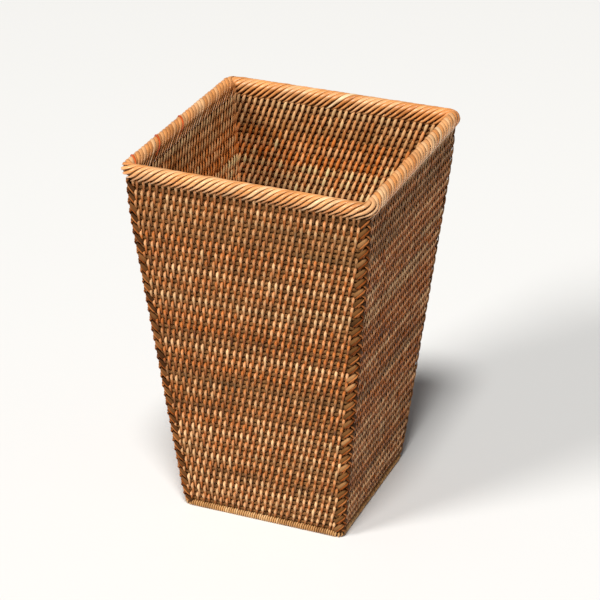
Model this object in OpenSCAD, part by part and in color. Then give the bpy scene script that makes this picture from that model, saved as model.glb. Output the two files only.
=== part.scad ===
// Square tapered wastebasket in coiled rattan weave.
// Origin: middle of the footprint on the floor, +Z up, front wall towards -Y.
// Every row of weave is two stacked rods bound by one sewing strand. The strands of a
// wall are held here by a pair of thin skins, outside and inside the rods, and the braid
// down a corner by one strip of angle section.

/* [Basket] */
// Height from the floor to the middle of the rim's tube
rim_z = 359; // [320:1:400]
// Half the width of the rim, to the middle of its tube
rim_half = 115; // [105:1:130]
// Half the width of the foot ring, to the middle of its rod
foot_half = 79.3; // [70:0.1:90]

/* [Rim] */
// Diameter of the pole inside the rim
rim_core_d = 11; // [9:0.1:12]
// Thickness of the rattan peel wrapped round the pole
rim_wrap_t = 1.35; // [1:0.05:2]
// Bend radius of the rim's corners, to the middle of the pole
rim_corner_r = 7.5; // [7.5:0.5:14]
// Width of one splice strip
splice_w = 1.8; // [1:0.1:3]

/* [Walls] */
// Number of rows of weave from the foot to the rim
row_count = 34; // [30:1:36]
// Space left between two stacked rods
rod_gap = 0.2; // [0.1:0.05:0.4]
// Thickness of the sewing strand where it lies over the rods
strand_t = 1.2; // [0.8:0.1:1.6]
// Bend radius of the rods at the corners, to the middle of the rod
rod_corner_r = 4; // [3.5:0.1:5]
// How far the wall is drawn in towards the rim over its last rows
top_draw_in = 2.8; // [0:0.1:4]
// How far the wall is drawn in towards the foot over its first rows
foot_draw_in = 2.5; // [0:0.1:3]

/* [Foot and base] */
// Diameter of the rod inside the foot ring
foot_core_d = 3.5; // [3:0.1:4]
// Thickness of the peel wound round the foot ring's rod
foot_wrap_t = 1.4; // [1:0.1:1.6]
// Depth worn off the underside of the foot ring, which leaves the face it stands on
foot_flat = 0.15; // [0.05:0.05:0.3]
// Spacing of the rods across the base
base_rod_pitch = 5.1; // [5:0.1:6]

/* [Hidden] */
$fn = 48;
SIDES = ["front", "right", "back", "left"];
CORNERS = ["front_right", "back_right", "back_left", "front_left"];
QUARTER = 90;

// Clearance between pieces that lie against each other
touch = 0.05;
skin_gap = 0.12;

rim_core_r = rim_core_d / 2;
rim_r = rim_core_r + rim_wrap_t;
foot_core_r = foot_core_d / 2;
foot_r = foot_core_r + foot_wrap_t;
foot_z = foot_r - foot_flat;

// The rows fill the height between the foot ring and the rim
row_bottom = foot_z + foot_r + 0.15;
row_top = rim_z - rim_r - 0.1;
row_pitch = (row_top - row_bottom) / row_count;
rod_pitch = row_pitch / 2;
rod_r = hundredths((rod_pitch - rod_gap) / 2);
skin_in = rod_r + skin_gap;
skin_out = skin_in + strand_t;

// Heights where the wall starts to draw in towards the rim and towards the foot
top_bend_z = rim_z - 59;
foot_bend_z = foot_z + 17;
foot_inset = 0.6;

// Corner braid: it stands a little proud of the walls, and its outer edge is rebated
braid_out = skin_out + 0.75;
braid_edge = (skin_in + braid_out) / 2;
braid_reach = rod_corner_r + 0.5;

// Base panel, just above the foot ring and just inside the first rows
base_z = row_bottom + 0.2;
base_rod_z = base_z + strand_t + skin_gap + rod_r;
base_half = wall_half(base_z) - skin_out - 0.3;
base_rods = floor(2 * base_half / base_rod_pitch);

// Splice strips: places along the left side of the rim, and the arc that each covers
splice_places = [for (i = [0 : 2]) -98 + 49 * i];
splice_t = 0.4;
splice_arc = [30, 200];

// Half the width of a wall's middle surface at height z
function wall_half(z) =
    foot_half - foot_inset
    + (rim_half - foot_half + foot_inset) * (z - foot_z) / (rim_z - foot_z)
    - top_draw_in * pow(max(0, z - top_bend_z) / (rim_z - top_bend_z), 2)
    - foot_draw_in * pow(max(0, foot_bend_z - z) / (foot_bend_z - foot_z), 2);

// A length to the nearest hundredth of a millimetre, so that rods meet their bends exactly
function hundredths(x) = round(x * 100) / 100;

// Height of rod j, counted from the lowest rod of the wall
function rod_z(j) = hundredths(row_bottom + (j + 0.5) * rod_pitch);

// Half the width of the square that rod j is bent to
function rod_half(j) = hundredths(wall_half(rod_z(j)));

// Heights at which a wall's outline needs a point: close together only where it bends
function wall_heights() = concat(
    [for (i = [0 : 3]) row_bottom + (foot_bend_z - row_bottom) * i / 4],
    [for (i = [0 : 6]) i == 0 ? foot_bend_z : top_bend_z + (row_top - top_bend_z) * (i - 1) / 5]
);

// Outline of a skin in section, between two distances from the wall's middle surface
function skin_outline(near, far) = let (zs = wall_heights(), n = len(zs)) concat(
    [for (i = [0 : n - 1]) [-(wall_half(zs[i]) + near), zs[i]]],
    [for (i = [n - 1 : -1 : 0]) [-(wall_half(zs[i]) + far), zs[i]]]
);

// Outline of a wall seen square on, stopping short of the corner braids
function wall_face() = let (zs = wall_heights(), n = len(zs), stop = braid_reach + 0.1) concat(
    [for (i = [0 : n - 1]) [wall_half(zs[i]) - stop, zs[i]]],
    [for (i = [n - 1 : -1 : 0]) [-(wall_half(zs[i]) - stop), zs[i]]]
);

// Outline of a corner braid seen square on, at the right-hand end of a wall (side = 1) or
// at its left-hand end (side = -1)
function braid_face(side) = let (zs = wall_heights(), n = len(zs)) concat(
    [for (i = [0 : n - 1]) [side * (wall_half(zs[i]) - braid_reach), zs[i]]],
    [for (i = [n - 1 : -1 : 0]) [side * (wall_half(zs[i]) + braid_edge), zs[i]]]
);

function row_name(k) = str("coil_row_", k < 10 ? "0" : "", k);

// Cross-section of a rod, or of a sleeve round one where r_in is above zero
module tube_section(r, r_in = 0) {
    difference() {
        circle(r = r);
        if (r_in > 0) circle(r = r_in);
    }
}

// The front side of a square ring and the bend at its right-hand end
module ring_side(half, corner_r, r, r_in = 0) {
    straight = half - corner_r;
    translate([-straight, -half, 0]) rotate([90, 0, 90])
        linear_extrude(height = 2 * straight) rotate(2 * QUARTER) tube_section(r, r_in);
    translate([straight, -straight, 0]) rotate([0, 0, -QUARTER])
        rotate_extrude(angle = QUARTER) translate([corner_r, 0]) tube_section(r, r_in);
}

// A round rod bent to a closed square
module square_ring(half, corner_r, r) {
    for (i = [0 : 3]) rotate([0, 0, QUARTER * i]) ring_side(half, corner_r, r);
}

module rim_core() {
    color("peru") translate([0, 0, rim_z]) square_ring(rim_half, rim_corner_r, rim_core_r);
}

module rim_wrap(i) {
    color("sandybrown") translate([0, 0, rim_z]) rotate([0, 0, QUARTER * i])
        ring_side(rim_half, rim_corner_r, rim_r, rim_core_r + touch);
}

// Narrow strips that lap the ends of the wrapping on the left side of the rim
module rim_splice_strips() {
    color("chocolate")
    for (y = splice_places) translate([-rim_half, y - splice_w / 2, rim_z]) rotate([90, 0, 180])
        rotate([0, 0, splice_arc[0]]) rotate_extrude(angle = splice_arc[1] - splice_arc[0])
            translate([rim_r + touch, 0]) square([splice_t, splice_w]);
}

// What lies within a face outline between two distances from the middle of the front wall
module wall_layer(near, far, face) {
    reach = rim_half + rim_r;
    intersection() {
        translate([-reach, 0, 0]) rotate([90, 0, 90])
            linear_extrude(height = 2 * reach) polygon(skin_outline(near, far));
        rotate([90, 0, 0]) linear_extrude(height = reach + rim_r) polygon(face);
    }
}

// The strand's crossings down the right-hand corner of wall i, as a strip of angle section
module corner_braid(i) {
    color("chocolate") rotate([0, 0, QUARTER * i]) {
        wall_layer(skin_in, braid_out, braid_face(1));
        rotate([0, 0, QUARTER]) wall_layer(skin_in, braid_out, braid_face(-1));
    }
}

// The two rods of row k, counted from the foot
module coil_row(k) {
    color("tan")
    for (j = [2 * k - 2, 2 * k - 1])
        translate([0, 0, rod_z(j)]) square_ring(rod_half(j), rod_corner_r, rod_r);
}

// Space that the strands of wall i take outside and inside its rods
module stitching(i) {
    color("coral") rotate([0, 0, QUARTER * i]) {
        wall_layer(skin_in, skin_out, wall_face());
        wall_layer(-skin_out, -skin_in, wall_face());
    }
}

module foot_ring_core() {
    color("peru") translate([0, 0, foot_z]) square_ring(foot_half, rod_corner_r, foot_core_r);
}

// The wound peel of one side of the foot ring, worn flat where it stands
module foot_ring_wrap(i) {
    reach = foot_half + foot_r + 1;
    color("burlywood") rotate([0, 0, QUARTER * i])
        difference() {
            translate([0, 0, foot_z]) ring_side(foot_half, rod_corner_r, foot_r, foot_core_r + touch);
            translate([-reach, -reach, -foot_r]) cube([2 * reach, 2 * reach, foot_r]);
        }
}

module base_rods() {
    color("tan")
    for (i = [0 : base_rods - 1])
        translate([-base_half, (i - (base_rods - 1) / 2) * base_rod_pitch, base_rod_z])
            rotate([0, 90, 0]) cylinder(h = 2 * base_half, r = rod_r);
}

// Space that the base's strands take above and below its rods
module base_stitching() {
    color("coral")
    for (z = [base_z, base_rod_z + skin_in]) translate([-base_half, -base_half, z])
        cube([2 * base_half, 2 * base_half, strand_t]);
}

rim_core();
rim_splice_strips();
for (i = [0 : 3]) {
    rim_wrap(i);
    corner_braid(i);
    stitching(i);
    foot_ring_wrap(i);
}
for (k = [1 : row_count]) coil_row(k);
foot_ring_core();
base_rods();
base_stitching();
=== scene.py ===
import logging
import math
from dataclasses import dataclass, field
from enum import Enum

import bpy
import numpy as np
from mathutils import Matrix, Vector


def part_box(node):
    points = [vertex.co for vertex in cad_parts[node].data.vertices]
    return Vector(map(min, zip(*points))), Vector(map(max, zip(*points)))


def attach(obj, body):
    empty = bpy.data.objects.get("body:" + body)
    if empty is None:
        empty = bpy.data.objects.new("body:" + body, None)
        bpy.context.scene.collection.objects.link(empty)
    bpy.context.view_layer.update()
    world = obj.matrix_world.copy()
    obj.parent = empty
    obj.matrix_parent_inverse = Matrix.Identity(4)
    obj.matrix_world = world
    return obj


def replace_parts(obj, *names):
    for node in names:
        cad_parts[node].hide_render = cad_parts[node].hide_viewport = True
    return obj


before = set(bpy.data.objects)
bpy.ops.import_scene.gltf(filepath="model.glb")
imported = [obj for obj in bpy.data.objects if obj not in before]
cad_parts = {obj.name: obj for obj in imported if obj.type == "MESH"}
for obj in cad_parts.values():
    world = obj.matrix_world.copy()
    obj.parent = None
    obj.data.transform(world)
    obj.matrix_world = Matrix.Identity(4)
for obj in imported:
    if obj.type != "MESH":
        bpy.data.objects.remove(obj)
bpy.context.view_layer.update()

log = logging.getLogger("wastebasket")

MM = 0.001
TINY = 1e-12
QUARTER = math.pi / 2
Colour = tuple[float, float, float]


class Side(Enum):
    """The four walls, in order round the basket from the one that faces -Y."""

    FRONT = 0
    RIGHT = 1
    BACK = 2
    LEFT = 3

    @property
    def word(self) -> str:
        """The wall's name as it stands in the names of nodes."""
        return self.name.lower()

    @property
    def corner(self) -> str:
        """The corner at the wall's right-hand end, as it stands in the names of nodes."""
        return ("front_right", "back_right", "back_left", "front_left")[self.value]


def linear(red: int, green: int, blue: int) -> Colour:
    """Turns a display colour into the linear values that shaders take.

    Args:
        red, green, blue: channels from 0 to 255.

    Returns:
        The three linear channels: ((c + 0.055) / 1.055) to the power 2.4.
    """
    return tuple(((c / 255 + 0.055) / 1.055) ** 2.4 for c in (red, green, blue))


# ---------------------------------------------------------------- finishes


@dataclass(frozen=True)
class PeelFinish:
    """Rattan peel, lacquered: tinted strip by strip, with painted shade in the cracks carried in the
    tint, and fibres along it.
    """

    name: str
    fibre_dark: float
    roughness: float
    coat: float
    specular: float = 0.26
    coat_roughness: float = 0.32
    roughness_change: tuple[float, float] = (-0.07, 0.16)
    bump: float = 0.12
    fibres_across: float = 26.0
    fibres_along: float = 900.0

    def material(self) -> bpy.types.Material:
        """Builds the shader, which reads the piece's tint attribute and its UV map.

        Returns:
            The material.
        """
        nodes = Shader(self.name)
        tint = nodes.add("ShaderNodeAttribute", attribute_name="tint")
        place = nodes.add("ShaderNodeUVMap", uv_map="strip")
        stretch = nodes.stretch(place, "UV", (self.fibres_along, self.fibres_across, 1.0))
        fibre = nodes.noise(stretch, "Vector", scale=1.0, detail=3.0, roughness=0.65)
        streak = nodes.ramp(fibre, "Fac", ((0.30, (self.fibre_dark,) * 3), (0.62, (1.08,) * 3)))
        object_place = nodes.add("ShaderNodeTexCoord")
        blotch = nodes.noise(object_place, "Object", scale=55.0, detail=2.0)
        patch = nodes.ramp(blotch, "Fac", ((0.30, (0.80, 0.76, 0.70)), (0.68, (1.12, 1.10, 1.06))))
        first = nodes.multiply(tint, "Color", streak, "Color")
        colour = nodes.multiply(first, "Color", patch, "Color")
        nodes.link(colour, "Color", nodes.shader, "Base Color")
        gloss = nodes.add("ShaderNodeMapRange")
        gloss.inputs["To Min"].default_value = self.roughness + self.roughness_change[0]
        gloss.inputs["To Max"].default_value = self.roughness + self.roughness_change[1]
        nodes.link(fibre, "Fac", gloss, "Value")
        nodes.link(gloss, "Result", nodes.shader, "Roughness")
        nodes.relief(fibre, self.bump)
        nodes.shader.inputs["Specular IOR Level"].default_value = self.specular
        nodes.shader.inputs["Coat Weight"].default_value = self.coat
        nodes.shader.inputs["Coat Roughness"].default_value = self.coat_roughness
        return nodes.material


@dataclass(frozen=True)
class RodFinish:
    """Bare rattan rod, stained brown, with its fibres drawn along the rod."""

    name: str
    dark: Colour
    light: Colour
    stretch: tuple[float, float, float]
    roughness: float = 0.58
    specular: float = 0.05
    bump: float = 0.35

    def material(self) -> bpy.types.Material:
        """Builds the shader, whose grain is noise in Object coordinates squeezed across the rods.

        Returns:
            The material.
        """
        nodes = Shader(self.name)
        place = nodes.add("ShaderNodeTexCoord")
        squeeze = nodes.stretch(place, "Object", self.stretch)
        grain = nodes.noise(squeeze, "Vector", scale=1.0, detail=4.0, roughness=0.6)
        colour = nodes.ramp(grain, "Fac", ((0.32, self.dark), (0.70, self.light)))
        blotch = nodes.noise(place, "Object", scale=90.0, detail=2.0)
        patch = nodes.ramp(blotch, "Fac", ((0.35, (0.62,) * 3), (0.65, (1.15,) * 3)))
        mixed = nodes.multiply(colour, "Color", patch, "Color")
        nodes.link(mixed, "Color", nodes.shader, "Base Color")
        nodes.relief(grain, self.bump)
        nodes.shader.inputs["Roughness"].default_value = self.roughness
        nodes.shader.inputs["Specular IOR Level"].default_value = self.specular
        return nodes.material


class Shader:
    """A new material's node tree, with short ways to add its nodes and join them."""

    def __init__(self, name: str) -> None:
        """Starts a material that holds one Principled shader.

        Args:
            name: the material's name.
        """
        self.material = bpy.data.materials.new(name)
        self.material.use_nodes = True
        self.tree = self.material.node_tree
        self.shader = self.tree.nodes["Principled BSDF"]

    def add(self, kind: str, **settings: object) -> bpy.types.Node:
        """Adds a node of a kind and sets its properties.

        Args:
            kind: the name of the node's type.
            settings: properties to set on it.

        Returns:
            The node.
        """
        node = self.tree.nodes.new(kind)
        for name, value in settings.items():
            setattr(node, name, value)
        return node

    def link(self, source: bpy.types.Node, output: str, target: bpy.types.Node, socket: str) -> None:
        """Joins one node's named output to another node's named input."""
        self.tree.links.new(source.outputs[output], target.inputs[socket])

    def stretch(self, source: bpy.types.Node, output: str, scale: tuple) -> bpy.types.Node:
        """Adds a node that scales coordinates along each axis.

        Args:
            source: the node that the coordinates come from.
            output: the name of its output.
            scale: the three scales.

        Returns:
            The node, whose result is its Vector output.
        """
        node = self.add("ShaderNodeMapping")
        node.inputs["Scale"].default_value = scale
        self.link(source, output, node, "Vector")
        return node

    def noise(
        self, source: bpy.types.Node, output: str, scale: float, detail: float, roughness: float = 0.5
    ) -> bpy.types.Node:
        """Adds a noise texture.

        Args:
            source: the node whose coordinates it is laid out in.
            output: the name of that node's output.
            scale, detail, roughness: the texture's settings.

        Returns:
            The texture, whose result is its Fac output.
        """
        node = self.add("ShaderNodeTexNoise")
        node.inputs["Scale"].default_value = scale
        node.inputs["Detail"].default_value = detail
        node.inputs["Roughness"].default_value = roughness
        self.link(source, output, node, "Vector")
        return node

    def relief(self, texture: bpy.types.Node, strength: float, depth: float = 0.2 * MM) -> None:
        """Raises the surface by a texture, up to a depth.

        Args:
            texture: the texture.
            strength: how much of the relief shows, from 0 to 1.
            depth: the relief's full depth.
        """
        node = self.add("ShaderNodeBump")
        node.inputs["Strength"].default_value = strength
        node.inputs["Distance"].default_value = depth
        self.link(texture, "Fac", node, "Height")
        self.link(node, "Normal", self.shader, "Normal")

    def ramp(
        self, source: bpy.types.Node, output: str, stops: tuple[tuple[float, Colour], ...]
    ) -> bpy.types.Node:
        """Adds a colour ramp with two stops, fed by a node.

        Args:
            source: the node that drives the ramp.
            output: the name of its output.
            stops: place and colour of each stop.

        Returns:
            The ramp.
        """
        node = self.add("ShaderNodeValToRGB")
        for element, (place, colour) in zip(node.color_ramp.elements, stops):
            element.position = place
            element.color = (*colour, 1.0)
        self.link(source, output, node, "Fac")
        return node

    def multiply(
        self, one: bpy.types.Node, one_out: str, two: bpy.types.Node, two_out: str
    ) -> bpy.types.Node:
        """Adds a node that multiplies two colours.

        Args:
            one: the node with the first colour, and one_out the name of that output.
            two: the node with the second colour, and two_out the name of that output.

        Returns:
            The node, whose result is its Color output.
        """
        node = self.add("ShaderNodeMixRGB", blend_type="MULTIPLY")
        node.inputs["Fac"].default_value = 1.0
        self.link(one, one_out, node, "Color1")
        self.link(two, two_out, node, "Color2")
        return node


# ---------------------------------------------------------------- surfaces


@dataclass(frozen=True)
class Ribbon:
    """The cross-section of a split of rattan: flat below, domed above, soft at its edges.

    Its shoulders stand at a share of the half-width and rise to a share of the dome. Its edges
    hang down by a share of the belly.
    """

    half_width: float
    dome: float
    belly: float
    shoulder_at: float = 0.62
    shoulder: float = 0.72
    edge: float = 0.15

    def outline(self) -> np.ndarray:
        """Gives the section's six points as (across, out) pairs, going round it once.

        Returns:
            An array of shape (6, 2).
        """
        across = self.half_width * np.array([-1.0, -self.shoulder_at, 0.0, self.shoulder_at, 1.0, 0.0])
        edge, shoulder = -self.edge * self.belly, self.shoulder * self.dome
        out = np.array([edge, shoulder, self.dome, shoulder, edge, -self.belly])
        return np.stack([across, out], axis=1)


@dataclass
class Strips:
    """Many ribbons at once: each has a path, a direction that faces out, a width and a tint."""

    path: np.ndarray
    outward: np.ndarray
    width: np.ndarray
    tint: np.ndarray
    closed: bool

    def surface(self, ribbon: Ribbon) -> tuple[np.ndarray, list, np.ndarray, np.ndarray]:
        """Carries a ribbon's section along every path.

        The tangent is the difference of each point's neighbours. Across is the tangent crossed
        with the outward direction, and out is across crossed with the tangent. A point of the
        surface is the path's point plus across times the section's width times the local width,
        plus out times the section's height.

        Args:
            ribbon: the section.

        Returns:
            The points, the faces, each face corner's (along, round) and each point's tint.
        """
        count, steps = self.path.shape[:2]
        outline = ribbon.outline()
        sides = len(outline)
        if self.closed:
            tangent = np.roll(self.path, -1, axis=1) - np.roll(self.path, 1, axis=1)
        else:
            tangent = np.gradient(self.path, axis=1)
        across = unit(np.cross(tangent, self.outward))
        out = unit(np.cross(across, tangent))
        reach = outline[:, 0][None, None, :] * self.width[..., None]
        points = (
            self.path[:, :, None, :]
            + across[:, :, None, :] * reach[..., None]
            + out[:, :, None, :] * outline[:, 1][None, None, :, None]
        )
        spans = steps if self.closed else steps - 1
        strip = np.arange(count)[:, None, None] * steps * sides
        here = np.arange(spans)[None, :, None]
        there = (here + 1) % steps
        side = np.arange(sides)[None, None, :]
        beside = (side + 1) % sides
        quads = np.stack(
            np.broadcast_arrays(
                strip + here * sides + side, strip + here * sides + beside,
                strip + there * sides + beside, strip + there * sides + side,
            ),
            axis=-1,
        ).reshape(-1, 4)
        step = np.linalg.norm(np.diff(self.path, axis=1, append=self.path[:, :1]), axis=2)
        along = np.concatenate([np.zeros((count, 1)), np.cumsum(step, axis=1)], axis=1)
        one = np.broadcast_to(along[:, :spans, None], (count, spans, sides))
        two = np.broadcast_to(along[:, 1:spans + 1, None], (count, spans, sides))
        low = np.broadcast_to(side / sides, one.shape)
        high = low + 1 / sides
        corners = np.stack(
            [np.stack([one, low], -1), np.stack([one, high], -1),
             np.stack([two, high], -1), np.stack([two, low], -1)],
            axis=3,
        ).reshape(-1, 2)
        faces = quads.tolist()
        if not self.closed:
            rim = np.arange(sides)
            first = np.arange(count)[:, None] * steps * sides
            faces += (first + rim[::-1]).tolist()
            faces += (first + (steps - 1) * sides + rim).tolist()
            corners = np.concatenate([corners, np.zeros((2 * count * sides, 2))])
        tint = np.broadcast_to(self.tint[:, :, None, :], (count, steps, sides, 3))
        return points.reshape(-1, 3), faces, corners, tint.reshape(-1, 3)


def set_piece(mesh: bpy.types.Mesh, material: bpy.types.Material) -> bpy.types.Object:
    """Makes a finished mesh a smooth, dressed piece that rides on the basket's only body.

    Args:
        mesh: the mesh, which the piece takes its name from.
        material: its finish.

    Returns:
        The piece's object.
    """
    mesh.polygons.foreach_set("use_smooth", np.ones(len(mesh.polygons), dtype=bool))
    mesh.materials.append(material)
    mesh.update()
    piece = bpy.data.objects.new(mesh.name, mesh)
    bpy.context.scene.collection.objects.link(piece)
    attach(piece, "root")
    log.info("%s: %d faces", mesh.name, len(mesh.polygons))
    return piece


def dress(node: str, material: bpy.types.Material) -> None:
    """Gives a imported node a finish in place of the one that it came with.

    Args:
        node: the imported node's name.
        material: the finish.
    """
    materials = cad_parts[node].data.materials
    materials.clear()
    materials.append(material)


def unit(vectors: np.ndarray) -> np.ndarray:
    """Gives vectors the length one: each divided by its own length."""
    return vectors / np.maximum(np.linalg.norm(vectors, axis=-1, keepdims=True), TINY)


def with_height(flat: np.ndarray, height: np.ndarray | float) -> np.ndarray:
    """Adds heights to level coordinates, or upward parts to level directions."""
    height = np.broadcast_to(height, flat.shape[:-1])
    return np.concatenate([flat, height[..., None]], axis=-1)


def add_tube(
    name: str, rings: np.ndarray, material: bpy.types.Material
) -> bpy.types.Object:
    """Makes one piece out of closed rings that follow each other round a closed run.

    Args:
        name: the piece's name.
        rings: the points, of shape (rings, sides, 3).
        material: its finish.

    Returns:
        The piece's object.
    """
    steps, sides = rings.shape[:2]
    here = np.arange(steps)[:, None]
    there = (here + 1) % steps
    side = np.arange(sides)[None, :]
    beside = (side + 1) % sides
    quads = np.stack([here * sides + side, there * sides + side,
                      there * sides + beside, here * sides + beside], axis=-1)
    mesh = bpy.data.meshes.new(name)
    mesh.from_pydata(rings.reshape(-1, 3), [], quads.reshape(-1, 4).tolist())
    return set_piece(mesh, material)


def add_piece(
    name: str, strips: Strips, ribbon: Ribbon, material: bpy.types.Material
) -> bpy.types.Object:
    """Makes one piece of the basket out of ribbons, riding on the basket's only body.

    Args:
        name: the piece's name.
        strips: the ribbons' paths.
        ribbon: their section.
        material: their finish.

    Returns:
        The piece's object.
    """
    points, faces, corners, tint = strips.surface(ribbon)
    mesh = bpy.data.meshes.new(name)
    mesh.from_pydata(points, [], faces)
    uv = mesh.uv_layers.new(name="strip")
    uv.data.foreach_set("uv", corners.ravel())
    colour = mesh.attributes.new("tint", "FLOAT_COLOR", "POINT")
    colour.data.foreach_set("color", np.concatenate([tint, np.ones((len(tint), 1))], axis=1).ravel())
    return set_piece(mesh, material)


# ---------------------------------------------------------------- the basket's shape


@dataclass
class WallShape:
    """Where the walls stand, read from the rods: half-width, row heights and the corners' bend."""

    rows: int
    corner_r: float = 4 * MM
    heights: np.ndarray = field(init=False)
    halves: np.ndarray = field(init=False)
    rod_r: float = field(init=False)
    row_pitch: float = field(init=False)

    def __post_init__(self) -> None:
        """Measures every row's box. Its upper rod reaches furthest out and highest."""
        boxes = [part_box(f"coil_row_{row:02d}") for row in range(1, self.rows + 1)]
        low = np.array([lo.z for lo, _ in boxes])
        high = np.array([hi.z for _, hi in boxes])
        self.row_pitch = float(np.diff(high).mean())
        self.rod_r = float((high - low).mean() - self.row_pitch / 2) / 2
        self.heights = high - self.rod_r
        self.halves = np.array([hi.x for _, hi in boxes]) - self.rod_r

    def half(self, z: np.ndarray) -> np.ndarray:
        """Half-width of the walls' middle surface at a height, carried on straight past both ends.

        Args:
            z: heights in metres.

        Returns:
            Half-widths in metres.
        """
        inside = np.interp(z, self.heights, self.halves)
        lean_low = (self.halves[1] - self.halves[0]) / (self.heights[1] - self.heights[0])
        lean_high = (self.halves[-1] - self.halves[-2]) / (self.heights[-1] - self.heights[-2])
        below = np.minimum(z - self.heights[0], 0) * lean_low
        above = np.maximum(z - self.heights[-1], 0) * lean_high
        return inside + below + above

    def upper_rod(self, row: int) -> float:
        """Height of the upper rod's middle in a row, which may be row 0, below the wall."""
        return float(self.heights[0] + (row - 1) * self.row_pitch)


@dataclass(frozen=True)
class SquareRun:
    """A closed run round a square with rounded corners, from the front wall's left-hand end."""

    half: float
    corner_r: float

    @property
    def straight(self) -> float:
        """Length of one straight."""
        return 2 * (self.half - self.corner_r)

    @property
    def quarter(self) -> float:
        """Length of one straight and one bend."""
        return self.straight + QUARTER * self.corner_r

    def place(
        self, along: np.ndarray, out: np.ndarray, half: np.ndarray | float | None = None
    ) -> tuple[np.ndarray, np.ndarray]:
        """Finds points beside the run.

        On a straight, a point keeps its share of the straight's length, at the half-width given
        for it. On a bend it stands at the angle (distance past the straight) / (bend radius)
        round the bend's middle. The side's number turns both by as many quarter turns.

        Args:
            along: distance along the run.
            out: distance outwards from it.
            half: the half-width at each point, where it isn't the run's own.

        Returns:
            Level coordinates and outward directions, each of shape (..., 2).
        """
        half = self.half if half is None else half
        along = np.mod(along, 4 * self.quarter)
        side = np.floor(along / self.quarter)
        rest = along - side * self.quarter
        share = np.clip(rest / self.straight, 0, 1) * 2 - 1
        turn = np.maximum(rest - self.straight, 0) / self.corner_r
        middle = half - self.corner_r
        outward = np.stack([np.sin(turn), -np.cos(turn)], axis=-1)
        start = np.stack([share * middle, -middle * np.ones_like(share)], axis=-1)
        point = start + outward * (self.corner_r + out)[..., None]
        angle = side * QUARTER
        cos, sin = np.cos(angle), np.sin(angle)

        def turned(flat: np.ndarray) -> np.ndarray:
            """Turns level coordinates by the angle of the side that they are on."""
            return np.stack([cos * flat[..., 0] - sin * flat[..., 1],
                             sin * flat[..., 0] + cos * flat[..., 1]], axis=-1)

        return turned(point), turned(outward)

    def wind(
        self, along: np.ndarray, angle: np.ndarray, arm: np.ndarray | float, middle_z: float
    ) -> tuple[np.ndarray, np.ndarray]:
        """Winds one strand about the run, as a helix.

        Out is the cosine of the angle and up is its sine, both times the arm.

        Args:
            along: distance along the run of each point of the strand.
            angle: how far round each point is.
            arm: how far it is from the run.
            middle_z: height of the run.

        Returns:
            The path and its outward directions, each of shape (1, points, 3).
        """
        flat, outward = self.place(along, arm * np.cos(angle))
        path = with_height(flat, middle_z + arm * np.sin(angle))
        facing = with_height(outward * np.cos(angle)[:, None], np.sin(angle))
        return path[None], facing[None]


# ---------------------------------------------------------------- sewing


@dataclass(frozen=True)
class Palette:
    """The tints that a row's strand, or any run of peel, takes."""

    deep: Colour
    middle: Colour
    pale: Colour

    def mix(self, tone: np.ndarray) -> np.ndarray:
        """Blends the tints: deep at tone 0, middle at 0.5 and pale at 1.

        Args:
            tone: tones from 0 to 1.

        Returns:
            Colours, with one more axis than the tones.
        """
        tone = np.clip(tone, 0, 1)[..., None]
        lower = np.array(self.deep) * (1 - 2 * tone) + np.array(self.middle) * 2 * tone
        upper = np.array(self.middle) * (2 - 2 * tone) + np.array(self.pale) * (2 * tone - 1)
        return np.where(tone < 0.5, lower, upper)


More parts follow.
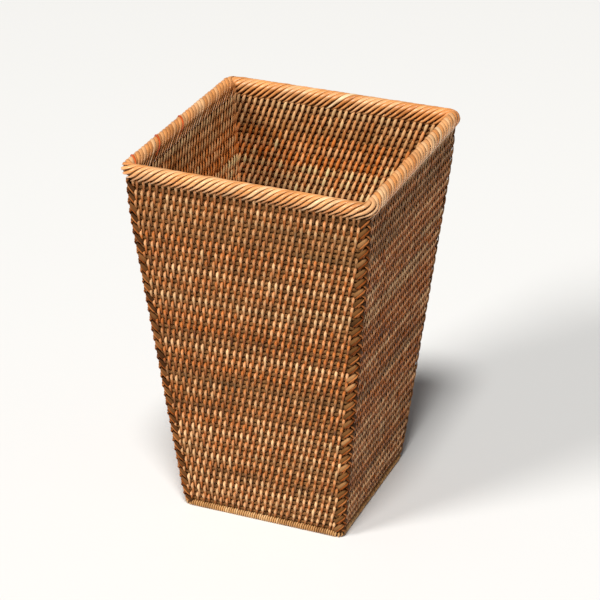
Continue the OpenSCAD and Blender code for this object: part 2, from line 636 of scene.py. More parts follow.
@dataclass(frozen=True)
class Stitch:
    """One turn of the sewing strand round its rods, seen from the end of the rods.

    The turn starts on top, comes down outside, passes under the lowest rod and goes up inside.
    It is a stadium: half circles over the top and bottom rods, straight between them.
    """

    # Angle from the top, in degrees, and share of the straight, at each step of the turn
    angle: tuple[float, ...] = (
        0, 40, 70, 90, 90, 90, 90, 116, 150, 180, 222, 262, 270, 270, 270, 270, 292, 326
    )
    share: tuple[float, ...] = (
        1, 1, 1, 0.86, 0.35, -0.25, -0.8, -1, -1, -1, -1, -1, -0.6, -0.1, 0.4, 0.9, 1, 1
    )
    # Sideways: how far it leans on its way down outside, at most this share of the gap
    lean_out: float = 1.5 * MM
    lean_share: float = 0.4
    # How far it stands off the rods, and how much of that is left in the cracks between rows
    lift: float = 0.45 * MM
    lift_in_crack: float = 0.15
    bulge: float = 1.05 * MM
    bulge_inside: float = 0.75 * MM
    tuck: float = 0.25 * MM
    # Change of width: pinched in the cracks, and in part at its foot, and spread where it bulges
    pinch: float = 0.50
    pinch_at_foot: float = 0.75
    spread: float = 0.14
    spread_inside: float = 0.36
    # A crack is where the cosine of the angle, to this power, is near 1
    crack_power: int = 6
    # The cosine's part in the blend that gives the way down, from 0 on top to 1 below
    curve_share: float = 0.35
    # Places on the way down: middle and reach of each bulge, start and length of each foot
    crown_at: tuple[float, float] = (0.20, 0.15)
    belly_at: tuple[float, float] = (0.38, 0.24)
    foot_at: tuple[float, float] = (0.45, 0.45)
    foot_inside_at: tuple[float, float] = (0.62, 0.30)
    foot_inside_share: float = 0.7
    # How much painted light lifts the tint inside, away from its bulge, and the painted highlight at it
    painted_light_inside: tuple[float, float] = (0.25, 0.65)

    def turn(
        self, top: np.ndarray, bottom: np.ndarray, radius: float, gap: np.ndarray
    ) -> dict[str, np.ndarray]:
        """Works out the turn for many stitches at once.

        The way down is a blend of the share of the straight and the cosine of the angle. Height
        is the top or bottom rod's height plus (radius + lift) times the cosine of the angle,
        and out is the same times its sine. Outside, the strand stands off by the bulge where it
        leaves the top rod, because it crosses the stitch above, and lies tucked in where it
        reaches the bottom rod. Inside, it bulges at mid-row and is broader there. Each bulge
        is a bell curve of the way down. The strand leans to the left on its way down outside,
        and covers the rest of the gap to the next stitch on its way up inside.

        Args:
            top: height of each stitch's top rod.
            bottom: height of its bottom rod.
            radius: the rods' radius.
            gap: distance to the next stitch.

        Returns:
            Arrays of one row a stitch: shift, height, out, facing_out, facing_up, width, crack,
            crown (1 where it stands proud outside; inside, the painted light, most at the bulge),
            foot (1 where it is tucked in) and inside (1 there).
        """
        gap = gap[:, None]
        angle = np.radians(np.array(self.angle))[None, :]
        share = np.array(self.share)[None, :]
        outside = np.sin(angle) >= -TINY
        crack = np.abs(np.cos(angle)) ** self.crack_power
        level = self.curve_share * np.cos(angle) + (1 - self.curve_share) * share
        down = np.clip((1 - level) / 2, 0, 1)
        crown = np.where(outside, bell(down, self.crown_at), 0)
        belly = np.where(outside, 0, bell(down, self.belly_at))
        foot = np.where(outside, slope(down, self.foot_at), slope(down, self.foot_inside_at))
        arm = radius + self.lift * (1 - (1 - self.lift_in_crack) * crack)
        arm = arm + self.bulge * crown - self.tuck * foot + self.bulge_inside * belly
        middle = (top + bottom)[:, None] / 2 + (top - bottom)[:, None] / 2 * share
        lean = np.minimum(self.lean_out, self.lean_share * gap)
        width = 1 - self.pinch * np.maximum(crack, self.pinch_at_foot * foot)
        width = width + self.spread * crown + self.spread_inside * belly
        # Painted light inside the basket, with a painted highlight where the strand bulges
        pale = np.where(outside, 0, self.painted_light_inside[0] + self.painted_light_inside[1] * belly)
        turn = {
            "shift": np.where(outside, -lean * down, -gap + (gap - lean) * down),
            "height": middle + arm * np.cos(angle),
            "out": arm * np.sin(angle),
            "facing_out": np.sin(angle),
            "facing_up": np.cos(angle),
            "width": width,
            "crack": crack,
            # crown carries the painted highlight outside and the painted light inside
            "crown": np.maximum(crown, pale),
            "foot": np.where(outside, foot, self.foot_inside_share * foot),
            "inside": np.where(outside, 0.0, 1.0),
        }
        return {name: values + 0 * gap for name, values in turn.items()}


def bell(way: np.ndarray, at: tuple[float, float]) -> np.ndarray:
    """Gives a bell curve, the exponential of minus ((way - middle) / reach) squared."""
    return np.exp(-((way - at[0]) / at[1]) ** 2)


def slope(way: np.ndarray, at: tuple[float, float]) -> np.ndarray:
    """Gives a straight rise from 0 to 1, from a start over a length, between level stretches."""
    return np.clip((way - at[0]) / at[1], 0, 1)


def ends(share: np.ndarray, lengths: tuple[float, float]) -> np.ndarray:
    """Gives 1 at both ends of a way, falling to 0 over the first and the last length of it."""
    return np.maximum(1 - slope(share, (0, lengths[0])), slope(share, (1 - lengths[1], lengths[1])))


@dataclass
class CoiledWalls:
    """The four walls: rods in rows, and one sewing strand round and round each row."""

    shape: WallShape
    peel: bpy.types.Material
    core: bpy.types.Material
    random: np.random.Generator
    stitch: Stitch = field(default_factory=Stitch)
    ribbon: Ribbon = Ribbon(1.3 * MM, 0.78 * MM, 0.45 * MM)
    pitch: float = 6.25 * MM
    slant: float = 2.5 * MM
    palette: Palette = Palette(linear(114, 62, 24), linear(202, 117, 52), linear(246, 202, 152))
    dust: Colour = linear(142, 116, 78)
    # Painted light that brightens the strands' tint inside the basket
    inside_painted_brightening: float = 0.38
    end_inset: float = 0.9 * MM
    end_room: float = 3.9 * MM
    columns_each_way: int = 30
    # Spread of the stitches' places, and of how loosely they stand out and up
    place_spread: float = 0.30 * MM
    loose_spread: float = 0.17 * MM
    loose_up: float = 0.5
    # Share of light taken off by painted shade in the cracks and at the foot, tone added as a painted
    # highlight on the crown, and the palest
    crack_painted_shade: float = 0.80
    foot_painted_shade: float = 0.42
    crown_painted_highlight: float = 0.36
    palest: float = 0.92
    # Splices in a row, and mean and spread of tone and dust: by the row, the length, the stitch
    splices: int = 3
    row_tone: tuple[float, float] = (0.40, 0.09)
    row_dust: tuple[float, float] = (0.10, 0.14)
    length_spread: tuple[float, float] = (0.09, 0.12)
    stitch_spread: tuple[float, float] = (0.10, 0.06)
    dustiest: float = 0.6

    def build(self) -> None:
        """Dresses the rods and sews every row."""
        for row in range(1, self.shape.rows + 1):
            dress(f"coil_row_{row:02d}", self.core)
        strands = [self.sew(row) for row in range(1, self.shape.rows + 1)]
        for side in Side:
            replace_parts(strands[0], f"stitching_{side.word}")

    def places(self, run: SquareRun, row: int) -> np.ndarray:
        """Finds where a row's stitches stand, from the last round to the first.

        On each wall they keep to columns a pitch apart that slant from row to row, with one
        more at an end that has room for it. One more goes round the middle of each bend.

        Args:
            run: the row's run round the basket.
            row: the row's number, from the foot.

        Returns:
            Distances along the run, falling.
        """
        end = run.straight / 2 - self.end_inset
        offset = (self.shape.rows - row) * self.slant % self.pitch
        column = np.arange(-self.columns_each_way, self.columns_each_way + 1) * self.pitch
        column = column - offset + self.pitch / 2
        column = column[np.abs(column) < end]
        last = np.array([-end, end])
        spare = np.abs(last - np.array([column.min(), column.max()])) > self.end_room
        column = np.concatenate([column, last[spare]]) + run.straight / 2
        corner = np.array([(run.straight + run.quarter) / 2])
        wall = np.concatenate([column, corner])
        places = np.concatenate([wall + side.value * run.quarter for side in Side])
        return np.sort(places)[::-1]

    def sew(self, row: int) -> bpy.types.Object:
        """Makes the strand of one row.

        Args:
            row: the row's number, from the foot.

        Returns:
            The strand.
        """
        shape = self.shape
        top_z = shape.upper_rod(row)
        bottom_z = shape.upper_rod(row - 1) if row > 1 else top_z - shape.row_pitch / 2
        run = SquareRun(float(shape.half(np.array(top_z))), shape.corner_r)
        place = self.places(run, row)
        count = len(place)
        place = place + self.random.normal(0, self.place_spread, count)
        gap = place - np.roll(place, -1)
        gap[-1] += 4 * run.quarter
        loose = self.random.normal(0, self.loose_spread, (count, 1))
        turn = self.stitch.turn(np.full(count, top_z), np.full(count, bottom_z), shape.rod_r, gap)
        along = place[:, None] + turn["shift"]
        height = turn["height"] + self.loose_up * loose
        out = turn["out"] + loose * turn["facing_out"]
        flat, normal = run.place(along, out, shape.half(height))
        path = with_height(flat, height)
        facing = with_height(normal * turn["facing_out"][..., None], turn["facing_up"])
        tone, dusty = self.tones(count)
        # Painted shade in the cracks and at the tucked foot, and a painted highlight on the crown
        shade = 1 - np.maximum(self.crack_painted_shade * turn["crack"], self.foot_painted_shade * turn["foot"])
        tint = self.palette.mix(tone[:, None] + self.crown_painted_highlight * turn["crown"])
        tint = (tint + (np.array(self.dust) - tint) * dusty[:, None, None]) * shade[..., None]
        # Painted light on the inside of the strand
        tint = tint * (1 + self.inside_painted_brightening * turn["inside"][..., None])
        tint = np.minimum(tint, self.palest)
        strips = Strips(
            path.reshape(1, -1, 3), facing.reshape(1, -1, 3),
            turn["width"].reshape(1, -1), tint.reshape(1, -1, 3), closed=True,
        )
        return add_piece(f"row_{row:02d}_strand", strips, self.ribbon, self.peel)

    def tones(self, count: int) -> tuple[np.ndarray, np.ndarray]:
        """Draws a row's tones: one for each length of peel that was sewn in, and a little a stitch.

        Args:
            count: the number of stitches.

        Returns:
            One tone a stitch, and how dusty each stitch is, from 0 to 1.
        """
        splices = np.sort(self.random.integers(0, count, self.splices))
        length = np.searchsorted(splices, np.arange(count))
        means = self.random.normal(*self.row_tone), self.random.normal(*self.row_dust)
        tone, dusty = (
            mean + self.random.normal(0, by_length, self.splices + 1)[length]
            + self.random.normal(0, by_stitch, count)
            for mean, by_length, by_stitch in zip(means, self.length_spread, self.stitch_spread)
        )
        return tone, np.clip(dusty, 0, self.dustiest)


# ---------------------------------------------------------------- rim


@dataclass
class WrappedRim:
    """The rim: a bent pole closed over with slanted strips whose ends go down into the wall."""

    shape: WallShape
    peel: bpy.types.Material
    splice: bpy.types.Material
    core: bpy.types.Material
    random: np.random.Generator
    strokes_a_side: int = 36
    corner_r: float = 7.5 * MM
    lean: float = 1.15
    ribbon: Ribbon = Ribbon(2.25 * MM, 0.66 * MM, 0.35 * MM)
    splice_ribbon: Ribbon = Ribbon(1.0 * MM, 0.55 * MM, 0.3 * MM)
    palette: Palette = Palette(linear(184, 106, 46), linear(232, 160, 96), linear(252, 216, 172))
    splice_palette: Palette = Palette(linear(150, 54, 14), linear(212, 88, 30), linear(226, 110, 48))
    # Where a strip lies on the tube, in degrees from the outermost line
    tube_arc: tuple[float, float] = (-50, 195)
    # Depth of the walls' strands, how far the tips stand off them, and how far the tips are
    # tucked in, outside and inside, and down
    strand_depth: float = 1.3 * MM
    tip_off: float = 0.6 * MM
    tip_in: tuple[float, float] = (1.4 * MM, 2.0 * MM)
    tip_down: float = 0.8 * MM
    outer_tip_up: float = 0.3 * MM
    # Tips: share of the strip's length, outside and inside, how they narrow and sink, and the painted
    # shade that darkens them
    tip_share: tuple[float, float] = (0.45, 0.34)
    tip_narrower: float = 0.64
    tip_power: float = 0.6
    tip_sunk: float = 0.25 * MM
    tip_painted_shade: float = 0.75
    tip_painted_shade_from: float = 0.6
    # Spread of the strips' places and lifts, and mean and spread of their tone
    place_spread: float = 0.20 * MM
    lift_spread: float = 0.10 * MM
    tone: tuple[float, float] = (0.55, 0.12)
    # Laps: first and last step of the way round that they cover, and how many it has; their
    # clearance; the depth and lengths of their sunk ends; and their width from end to end
    laps: int = 3
    lap_stretch: tuple[int, int, int] = (12, 34, 40)
    lap_off: float = 0.15 * MM
    lap_sunk: float = 0.9 * MM
    lap_ends: tuple[float, float] = (1 / 9, 1 / 3)
    lap_width: tuple[float, float] = (1.25, 0.50)

    def __post_init__(self) -> None:
        """Reads the pole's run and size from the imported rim."""
        low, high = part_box("rim_core")
        wrap_low, wrap_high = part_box("rim_wrap_front")
        self.pole_r = (high.z - low.z) / 2
        self.tube_r = (wrap_high.z - wrap_low.z) / 2
        self.middle_z = (high.z + low.z) / 2
        self.run = SquareRun(high.x - self.pole_r, self.corner_r)
        top_rod = self.shape.upper_rod(self.shape.rows)
        self.wall_set_in = self.run.half - float(self.shape.half(np.array(top_rod)))
        self.wall_drop = self.middle_z - top_rod

    def build(self) -> None:
        """Makes the pole, wraps the four sides and laps the splices on the left one."""
        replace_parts(self.pole(), "rim_core")
        for side in Side:
            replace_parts(self.wrap(side), f"rim_wrap_{side.word}")
        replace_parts(self.lap(), "rim_splice_strips")

    def pole(self) -> bpy.types.Object:
        """Makes the pole, bedded on the top rod of the walls.

        Its section is a circle whose lower half is drawn down by the cube of the sine, as far
        as the top rod.

        Returns:
            The pole.
        """
        sides, steps = 20, 160
        angle = np.arange(sides) * 2 * math.pi / sides
        along = np.arange(steps) / steps * 4 * self.run.quarter
        bed = self.wall_drop - self.shape.rod_r - self.pole_r
        rise = self.pole_r * np.sin(angle) - bed * np.maximum(-np.sin(angle), 0) ** 3
        keel = -self.wall_set_in * np.maximum(-np.sin(angle), 0) ** 3
        out = np.broadcast_to((self.pole_r * np.cos(angle) + keel)[None, :], (steps, sides))
        flat, _ = self.run.place(np.repeat(along[:, None], sides, axis=1), out)
        rings = with_height(flat, self.middle_z + rise)
        return add_tube("rim_pole", rings, self.core)

    def section(self, steps: int, drop_out: float, drop_in: float) -> np.ndarray:
        """Traces a strip's way over the tube, from its outer tip to its inner one.

        It follows the tube's circle from fifty degrees below the outermost line, over the top,
        to fifteen degrees below the innermost one. From there it drops to the wall's inner
        face, and outside it closes in on the wall's outer face.

        Args:
            steps: points to give back.
            drop_out: how far the outer tip is below the tube's middle.
            drop_in: how far the inner tip is below the tube's middle.

        Returns:
            An array of (out, up) pairs, evenly spaced along the way.
        """
        radius = self.tube_r - self.ribbon.dome
        angle = np.radians(np.linspace(*self.tube_arc, 40))
        arc = radius * np.stack([np.cos(angle), np.sin(angle)], axis=1)
        depth = self.shape.rod_r + self.strand_depth
        face_out, face_in = depth - self.wall_set_in, -depth - self.wall_set_in
        outer = np.array([[face_out - self.tip_in[0], -drop_out - self.tip_down],
                          [face_out + self.tip_off, -drop_out]])
        inner = np.array([[face_in, -drop_in],
                          [face_in + self.tip_in[1], -drop_in - self.tip_down]])
        way = np.concatenate([outer, arc, inner])
        length = np.concatenate([[0], np.cumsum(np.linalg.norm(np.diff(way, axis=0), axis=1))])
        even = np.linspace(0, length[-1], steps)
        return np.stack([np.interp(even, length, way[:, 0]), np.interp(even, length, way[:, 1])], 1)

    def strips(
        self, start: np.ndarray, section: np.ndarray, lift: np.ndarray
    ) -> tuple[np.ndarray, np.ndarray]:
        """Places slanted strips on the tube.

        A strip moves along the rim by lean times the way that it has gone round. Out and up
        are the section's, moved along its normal by the lift.

        Args:
            start: distance along the rim where each strip passes the top of the tube.
            section: the strip's way round the tube.
            lift: distance off the section at each point.

        Returns:
            Points and outward directions.
        """
        tangent = unit(np.gradient(section, axis=0))
        normal = np.stack([tangent[:, 1], -tangent[:, 0]], axis=1)
        step = np.linalg.norm(np.diff(section, axis=0, prepend=section[:1]), axis=1)
        way = np.cumsum(step)
        along = start[:, None] + self.lean * (way - way[np.argmax(section[:, 1])])[None, :]
        lift = np.broadcast_to(lift, along.shape)
        flat, outward = self.run.place(along, section[:, 0] + lift * normal[:, 0])
        height = self.middle_z + section[:, 1] + lift * normal[:, 1]
        return with_height(flat, height), with_height(outward * normal[None, :, :1], normal[:, 1])

    def wrap(self, side: Side) -> bpy.types.Object:
        """Makes the strips of one side.

        Args:
            side: the side.

        Returns:
            The piece that holds them.
        """
        count = self.strokes_a_side
        steps = 26
        pitch = self.run.quarter / count
        start = side.value * self.run.quarter + (np.arange(count) + 0.5) * pitch
        start = start + self.random.normal(0, self.place_spread, count)
        section = self.section(steps, self.wall_drop - self.outer_tip_up, self.wall_drop)
        tip = ends(np.linspace(0, 1, steps), self.tip_share)
        lift = self.random.normal(0, self.lift_spread, (count, 1)) - self.tip_sunk * tip
        path, facing = self.strips(start, section, lift)
        width = np.broadcast_to(1 - self.tip_narrower * tip ** self.tip_power, (count, steps))
        tone = self.random.normal(*self.tone, (count, 1)) + 0 * tip[None, :]
        # Painted shade on the tips, where they go down into the wall
        dark = self.tip_painted_shade * slope(tip, (self.tip_painted_shade_from, 1 - self.tip_painted_shade_from))
        tint = self.palette.mix(tone) * (1 - dark)[None, :, None]
        strips = Strips(path, facing, width, tint, closed=False)
        return add_piece(f"rim_strips_{side.word}", strips, self.ribbon, self.peel)

    def lap(self) -> bpy.types.Object:
        """Makes the three narrow strips that bind the ends of the wrapping on the left side.

        Returns:
            The piece that holds them.
        """
        low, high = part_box("rim_splice_strips")
        first = Side.LEFT.value * self.run.quarter + self.run.straight / 2
        places = first - np.linspace(low.y, high.y, self.laps)
        steps = 18
        begin, end, whole = self.lap_stretch
        section = self.section(whole, self.wall_drop, self.wall_drop)[begin:end]
        section = section[np.linspace(0, len(section) - 1, steps).astype(int)]
        share = np.linspace(0, 1, steps)
        lift = self.ribbon.dome + self.lap_off - self.lap_sunk * ends(share, self.lap_ends)
        path, facing = self.strips(places, section, lift)
        width = np.broadcast_to(np.interp(share, (0, 1), self.lap_width), path.shape[:2])
        tint = self.splice_palette.mix(np.full(path.shape[:2], 0.5))
        strips = Strips(path, facing, width, tint, closed=False)
        return add_piece("rim_splice_laps", strips, self.splice_ribbon, self.splice)


# ---------------------------------------------------------------- corners


@dataclass(frozen=True)
class Arm:
    """One kind of strand in a corner's braid, which climbs to the corner's edge in every row.

    Its foot and head are places beside the edge and above the row's upper rod. Places to the
    left of the edge, seen from outside, are negative.
    """

    name: str
    foot: tuple[float, float]
    head: tuple[float, float]
    proud: float
    ribbon: Ribbon
    palette: Palette


@dataclass
class BraidedCorner:
    """The braid down one corner: leaves that climb to its edge from both sides, row by row."""

    side: Side
    shape: WallShape
    peel: bpy.types.Material
    random: np.random.Generator
    steps: int = 13
    leaf_ribbon: Ribbon = Ribbon(1.85 * MM, 0.75 * MM, 0.35 * MM)
    dark_ribbon: Ribbon = Ribbon(2.2 * MM, 0.75 * MM, 0.35 * MM)
    strand_ribbon: Ribbon = Ribbon(0.95 * MM, 0.8 * MM, 0.35 * MM)
    # The right-hand leaves' palette is a darker copy of the leaves' one: painted shade on that side of
    # the corner
    painted_shade_palette: Palette = Palette(linear(40, 24, 11), linear(84, 52, 26), linear(140, 94, 54))
    leaf_palette: Palette = Palette(linear(56, 36, 18), linear(124, 84, 46), linear(198, 148, 100))
    strand_palette: Palette = Palette(linear(74, 35, 12), linear(148, 78, 30), linear(212, 140, 82))
    # How much of the climb is a quarter sine, and how steep it stays below the lowest rod
    sine_share: float = 0.25
    lowest_share: float = 0.8
    squeeze: float = 0.35
    # Dives at the foot and the head: their lengths, depths and powers, and the place from which
    # a strand stands fully proud
    dive_share: tuple[float, float] = (0.30, 0.20)
    dive: tuple[float, float] = (2.4 * MM, 1.6 * MM)
    dive_power: tuple[float, float] = (1.4, 1.6)
    proud_from: float = 0.75
    # How far off the rods a strand starts, and how much it faces up
    near: float = 0.9 * MM
    face_up: float = 0.2
    # Width at the tips, what it gains in the middle, and the part of a half sine that it follows
    width: tuple[float, float] = (0.34, 0.72)
    width_sine: tuple[float, float] = (0.08, 0.84)
    width_power: float = 0.8
    # Spread of height and of distance out, tones, and the painted shade on the dives
    row_spread: float = 0.2 * MM
    out_spread: float = 0.12 * MM
    tone: tuple[float, float] = (0.50, 0.17)
    tone_rise: float = 0.15
    dive_painted_shade: float = 0.75
    head_painted_shade_share: float = 0.8

    def build(self) -> None:
        """Makes the leaves and the strands of both sides of the corner."""
        leaf, strand = self.leaf_ribbon, self.strand_ribbon
        arms = (
            Arm("left_leaves", (-4.7 * MM, -8.6 * MM), (0.7 * MM, 2.8 * MM), 4.7 * MM,
                leaf, self.leaf_palette),
            Arm("right_leaves", (5.2 * MM, -12.4 * MM), (-0.4 * MM, -2.0 * MM), 4.2 * MM,
                self.dark_ribbon, self.painted_shade_palette),
            Arm("left_strands", (-3.4 * MM, -9.8 * MM), (1.3 * MM, 1.4 * MM), 5.5 * MM,
                strand, self.strand_palette),
            Arm("right_strands", (3.9 * MM, -14.0 * MM), (-0.2 * MM, -4.0 * MM), 4.9 * MM,
                strand, self.strand_palette),
        )
        for arm in arms:
            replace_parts(self.climb(arm), f"corner_braid_{self.side.corner}")

    def climb(self, arm: Arm) -> bpy.types.Object:
        """Makes one kind of strand in every row.

        Place beside the edge runs evenly from the foot to the head. Height runs from the foot
        to the head by the sine of a quarter turn, so that it is steepest at the foot. A strand
        stands proud over the middle of its way, and dives between the rods at both ends.

        Args:
            arm: the kind of strand.

        Returns:
            The piece that holds them.
        """
        shape = self.shape
        share = np.linspace(0, 1, self.steps)[None, :]
        rows = np.arange(shape.rows)
        base = shape.heights[0] + rows * shape.row_pitch
        base = base + self.random.normal(0, self.row_spread, len(rows))
        climb = (1 - self.sine_share) * share + self.sine_share * np.sin(QUARTER * share)
        height = base[:, None] + arm.foot[1] + (arm.head[1] - arm.foot[1]) * climb
        lowest = shape.heights[0] - shape.row_pitch / 2 - self.lowest_share * shape.rod_r
        height = np.maximum(height, lowest + self.squeeze * (height - lowest))
        beside = arm.foot[0] + (arm.head[0] - arm.foot[0]) * share + 0 * height
        foot = 1 - slope(share, (0, self.dive_share[0]))
        head = slope(share, (1 - self.dive_share[1], self.dive_share[1]))
        near = shape.rod_r + self.near
        out = near + (arm.proud - near) * slope(share, (0, self.proud_from))
        out = out - self.dive[0] * foot ** self.dive_power[0]
        out = out - self.dive[1] * head ** self.dive_power[1]
        out = out + self.random.normal(0, self.out_spread, (len(rows), 1))
        half = shape.half(height)
        run = SquareRun(float(shape.halves.max()), shape.corner_r)
        middle = run.straight + QUARTER * shape.corner_r / 2 + self.side.value * run.quarter
        flat, normal = run.place(middle + beside, out)
        turn = self.side.value * QUARTER
        corner = np.array([math.cos(turn) + math.sin(turn), math.sin(turn) - math.cos(turn)])
        flat = flat + (half - run.half)[..., None] * corner
        path = with_height(flat, height)
        facing = with_height(normal, self.face_up)
        swell = np.sin(math.pi * (self.width_sine[0] + self.width_sine[1] * share))
        width = self.width[0] + self.width[1] * swell ** self.width_power
        width = np.broadcast_to(width, height.shape)
        tone = self.random.normal(*self.tone, (len(rows), 1)) + self.tone_rise * share
        # Painted shade where the strand dives between the rods at its foot and head
        dark = self.dive_painted_shade * np.maximum(foot, self.head_painted_shade_share * head)
        tint = arm.palette.mix(tone) * (1 - dark[..., None])
        strips = Strips(path, facing, width, tint, closed=False)
        name = f"corner_{arm.name}_{self.side.corner}"
        return add_piece(name, strips, arm.ribbon, self.peel)


# ---------------------------------------------------------------- foot and base


@dataclass
class FootRing:
    """The ring that the basket stands on: a thin rod under close turns of fine peel."""

    peel: bpy.types.Material
    core: bpy.types.Material
    random: np.random.Generator
    pitch: float = 2.2 * MM
    steps: int = 12
    corner_r: float = 4 * MM
    ribbon: Ribbon = Ribbon(1.0 * MM, 0.85 * MM, 0.3 * MM)
    proud: float = 0.35 * MM
    palette: Palette = Palette(linear(146, 96, 48), linear(208, 156, 98), linear(242, 208, 160))
    # What each turn's own chance draw does to its size, up to a limit, and to its tone
    turn_size: float = 0.07 * MM
    turn_limit: float = 1.5
    turn_tone: float = 0.10
    # Mean and spread of the tone that drifts along a side, and how often it is drawn anew
    drift: tuple[float, float] = (0.5, 0.14)
    drift_stops: int = 9

    def build(self) -> None:
        """Winds the four sides.

        A strand moves on one pitch a turn. What would reach below the floor is worn flat at it.
        """
        low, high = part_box("foot_ring_core")
        wrap_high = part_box("foot_ring_wrap_front")[1]
        core_r = (high.z - low.z) / 2
        middle_z = (high.z + low.z) / 2
        tube_r = wrap_high.z - middle_z
        run = SquareRun(high.x - core_r, self.corner_r)
        dress("foot_ring_core", self.core)
        turns = round(run.quarter / self.pitch)
        angle = np.arange(turns * self.steps + 1) * 2 * math.pi / self.steps
        for side in Side:
            along = side.value * run.quarter + angle / (2 * math.pi) * run.quarter / turns
            each = np.repeat(self.random.normal(0, 1, turns + 1), self.steps)[:len(angle)]
            arm = tube_r + self.proud - self.ribbon.dome
            arm = arm + self.turn_size * np.clip(each, -self.turn_limit, self.turn_limit)
            path, facing = run.wind(along, angle, arm, middle_z)
            stops = self.random.normal(*self.drift, self.drift_stops)
            drift = np.interp(np.arange(turns + 1), np.linspace(0, turns, self.drift_stops), stops)
            tone = np.repeat(drift, self.steps)[:len(angle)] + self.turn_tone * each
            tint = self.palette.mix(tone)[None]
            strips = Strips(path, facing, np.ones(path.shape[:2]), tint, closed=False)
            piece = add_piece(f"foot_winding_{side.word}", strips, self.ribbon, self.peel)
            flatten_below(piece, 0.0)
            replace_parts(piece, f"foot_ring_wrap_{side.word}")


def flatten_below(piece: bpy.types.Object, floor: float) -> None:
    """Lifts every point of a piece that is below a height to that height.

    Args:
        piece: the piece.
        floor: the height.
    """
    points = np.empty(len(piece.data.vertices) * 3, dtype=np.float32)
    piece.data.vertices.foreach_get("co", points)
    points = points.reshape(-1, 3)
    points[:, 2] = np.maximum(points[:, 2], floor)
    piece.data.vertices.foreach_set("co", points.ravel())
    piece.data.update()


@dataclass
class SewnBase:
    """The base: rods laid side by side and sewn in pairs, like the walls laid flat."""

    peel: bpy.types.Material
    core: bpy.types.Material
    random: np.random.Generator
    rod_r: float
    rods: int
    pitch: float = 6.25 * MM
    slant: float = 2.5 * MM
    stitch: Stitch = field(default_factory=Stitch)
    ribbon: Ribbon = Ribbon(1.3 * MM, 0.78 * MM, 0.45 * MM)
    palette: Palette = Palette(linear(112, 56, 18), linear(198, 112, 48), linear(240, 192, 140))
    # The strand at the edge: how far outside the base its run is, and its bend, pitch and radius
    joint_in: float = 0.1 * MM
    joint_corner_r: float = 2.4 * MM
    joint_pitch: float = 2.7 * MM
    joint_r: float = 1.6 * MM
    # Spread of the stitches' places, mean and spread of a pair's tone, and the painted shade in the
    # cracks and at the feet and the painted highlight on the crowns
    place_spread: float = 0.16 * MM
    tone: tuple[float, float] = (0.4, 0.1)
    stitch_spread: float = 0.07
    crack_painted_shade: float = 0.80
    foot_painted_shade: float = 0.62
    crown_painted_highlight: float = 0.42

    def build(self) -> None:
        """Sews every pair of rods, as one open strand a pair, and joins the base to the walls."""
        low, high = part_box("base_rods")
        dress("base_rods", self.core)
        middle_z = (low.z + high.z) / 2
        spacing = (high.y - low.y - 2 * self.rod_r) / (self.rods - 1)
        count = int((high.x - low.x - self.pitch) / self.pitch)
        paths, facings, widths, tints = [], [], [], []
        for pair in range(1, self.rods // 2 + 1):
            top = low.y + self.rod_r + (2 * pair - 1) * spacing
            bottom = max(top - 2 * spacing, low.y + self.rod_r)
            offset = pair * self.slant % self.pitch
            place = high.x - self.pitch / 2 - offset - np.arange(count) * self.pitch
            place = place + self.random.normal(0, self.place_spread, count)
            gap = np.append(-np.diff(place), self.pitch)
            turn = self.stitch.turn(np.full(count, top), np.full(count, bottom), self.rod_r, gap)
            along = place[:, None] + turn["shift"]
            path = np.stack([along, turn["height"], middle_z - turn["out"]], axis=-1)
            facing = np.stack([0 * along, turn["facing_up"], -turn["facing_out"]], axis=-1)
            tone = self.random.normal(*self.tone)
            tone = tone + self.random.normal(0, self.stitch_spread, (count, 1))
            # Painted shade in the cracks and at the tucked foot, and a painted highlight on the crown
            shade = 1 - np.maximum(self.crack_painted_shade * turn["crack"], self.foot_painted_shade * turn["foot"])
            tint = self.palette.mix(tone + self.crown_painted_highlight * turn["crown"]) * shade[..., None]
            paths.append(path.reshape(-1, 3))
            facings.append(facing.reshape(-1, 3))
            widths.append(turn["width"].ravel())
            tints.append(tint.reshape(-1, 3))
        strips = Strips(np.array(paths), np.array(facings), np.array(widths), np.array(tints), False)
        piece = add_piece("base_strands", strips, self.ribbon, self.peel)
        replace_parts(piece, "base_stitching")
        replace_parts(self.join(high.x, middle_z), "base_stitching")

    def join(self, half: float, middle_z: float) -> bpy.types.Object:
        """Makes the strand that winds about the base's edge and holds it to the walls.

        Args:
            half: half the base's width.
            middle_z: height of the middle of the base's rods.

        Returns:
            The piece.
        """
        run = SquareRun(half + self.joint_in, self.joint_corner_r)
        turns = round(4 * run.quarter / self.joint_pitch)
        steps = 10
        angle = np.arange(turns * steps) * 2 * math.pi / steps
        along = angle / (2 * math.pi) * 4 * run.quarter / turns
        path, facing = run.wind(along, angle, self.joint_r, middle_z)
        tone = np.repeat(self.random.normal(*self.tone, turns), steps)
        strips = Strips(path, facing, np.ones(path.shape[:2]), self.palette.mix(tone)[None], True)
        return add_piece("base_joining_strand", strips, self.ribbon, self.peel)


# ---------------------------------------------------------------- studio


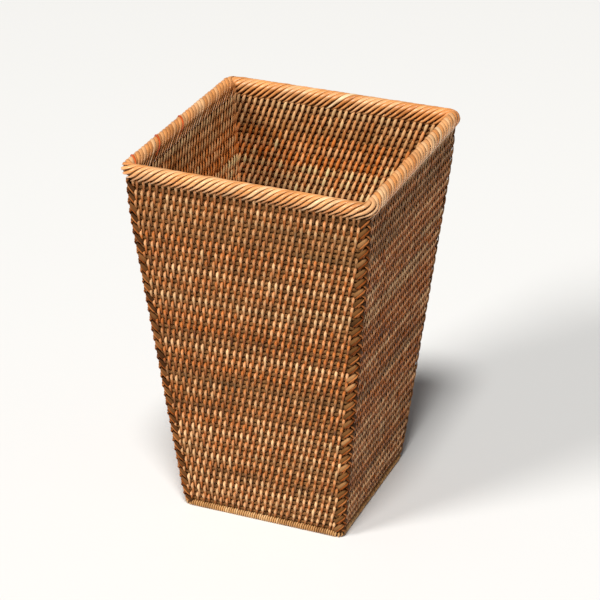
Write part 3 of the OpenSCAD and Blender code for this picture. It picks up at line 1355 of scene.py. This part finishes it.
@dataclass(frozen=True)
class Studio:
    """A pale floor, soft lights and the camera."""

    azimuth: float = 22.44
    elevation: float = 27.25
    distance: float = 2.1382
    lens: float = 135.4
    shift: tuple[float, float] = (0.0085, 0.0268)
    target_z: float = 0.181

    def build(self) -> None:
        """Sets up the floor, the lights and the camera."""
        self.floor()
        self.sun("key", (-0.60, -0.86, 0.70), angle=18.0, strength=2.25, colour=(1.0, 0.98, 0.94))
        self.sun("top", (0.11, -0.42, 1.0), angle=12.0, strength=2.5, colour=(1.0, 0.99, 0.96))
        world = bpy.data.worlds.new("studio")
        bpy.context.scene.world = world
        world.use_nodes = True
        sky = world.node_tree.nodes["Background"]
        sky.inputs["Color"].default_value = (1.0, 1.0, 1.0, 1.0)
        sky.inputs["Strength"].default_value = 0.12
        bpy.context.scene.view_settings.view_transform = "Standard"
        self.camera()

    def floor(self) -> None:
        """Lays a wide floor with a faint sheen, as a sheet of pale board."""
        side = 12.0
        mesh = bpy.data.meshes.new("floor")
        corners = [(-side, -side, 0), (side, -side, 0), (side, side, 0), (-side, side, 0)]
        mesh.from_pydata(corners, [], [(0, 1, 2, 3)])
        floor = bpy.data.objects.new("floor", mesh)
        bpy.context.scene.collection.objects.link(floor)
        nodes = Shader("pale_board")
        nodes.shader.inputs["Base Color"].default_value = (0.84, 0.84, 0.84, 1.0)
        nodes.shader.inputs["Roughness"].default_value = 0.22
        nodes.shader.inputs["Specular IOR Level"].default_value = 0.3
        mesh.materials.append(nodes.material)

    def sun(self, name: str, place: tuple, angle: float, strength: float, colour: Colour) -> None:
        """Adds a distant soft light, even all over the floor.

        Args:
            name: the light's name.
            place: a point that it shines from, towards the floor's middle.
            angle: how wide it looks, in degrees.
            strength: its strength.
            colour: its colour.
        """
        lamp = bpy.data.lights.new(name, "SUN")
        lamp.angle = math.radians(angle)
        lamp.energy = strength
        lamp.color = colour
        holder = bpy.data.objects.new(name, lamp)
        bpy.context.scene.collection.objects.link(holder)
        holder.location = place
        holder.rotation_euler = (-Vector(place)).to_track_quat("-Z", "Y").to_euler()

    def camera(self) -> None:
        """Places the camera on a sphere round the basket's middle."""
        turn, tilt = math.radians(self.azimuth), math.radians(self.elevation)
        back = Vector((math.sin(turn) * math.cos(tilt), -math.cos(turn) * math.cos(tilt), math.sin(tilt)))
        lens = bpy.data.cameras.new("camera")
        lens.lens = self.lens
        lens.sensor_width = 36.0
        lens.shift_x, lens.shift_y = self.shift
        lens.clip_end = 50.0
        camera = bpy.data.objects.new("camera", lens)
        bpy.context.scene.collection.objects.link(camera)
        camera.location = Vector((0, 0, self.target_z)) + back * self.distance
        camera.rotation_euler = (-back).to_track_quat("-Z", "Y").to_euler()
        bpy.context.scene.camera = camera


def main() -> None:
    """Builds the basket's pieces from the rods outwards, then the studio round them."""
    logging.basicConfig(level=logging.INFO, format="%(name)s %(message)s")
    random = np.random.default_rng(34)
    strand_peel = PeelFinish("strand_peel", 0.72, 0.27, 0.07, specular=0.18).material()
    braid_peel = PeelFinish("braid_peel", 0.70, 0.55, 0.0, specular=0.05).material()
    rim_peel = PeelFinish("rim_peel", 0.84, 0.28, 0.25, specular=0.40).material()
    foot_peel = PeelFinish("foot_peel", 0.74, 0.42, 0.10).material()
    splice_peel = PeelFinish("splice_peel", 0.75, 0.36, 0.20).material()
    wall_core = RodFinish(
        "wall_rod", linear(76, 48, 25), linear(160, 112, 66), (420.0, 420.0, 1500.0)
    ).material()
    base_core = RodFinish(
        "base_rod", linear(76, 48, 25), linear(160, 112, 66), (420.0, 1500.0, 1500.0)
    ).material()
    shape = WallShape(rows=34)
    CoiledWalls(shape, strand_peel, wall_core, random).build()
    WrappedRim(shape, rim_peel, splice_peel, wall_core, random).build()
    for side in Side:
        BraidedCorner(side, shape, braid_peel, random).build()
    FootRing(foot_peel, wall_core, random).build()
    SewnBase(strand_peel, base_core, random, shape.rod_r, rods=28).build()
    Studio().build()


if __name__ == "__main__":
    main()
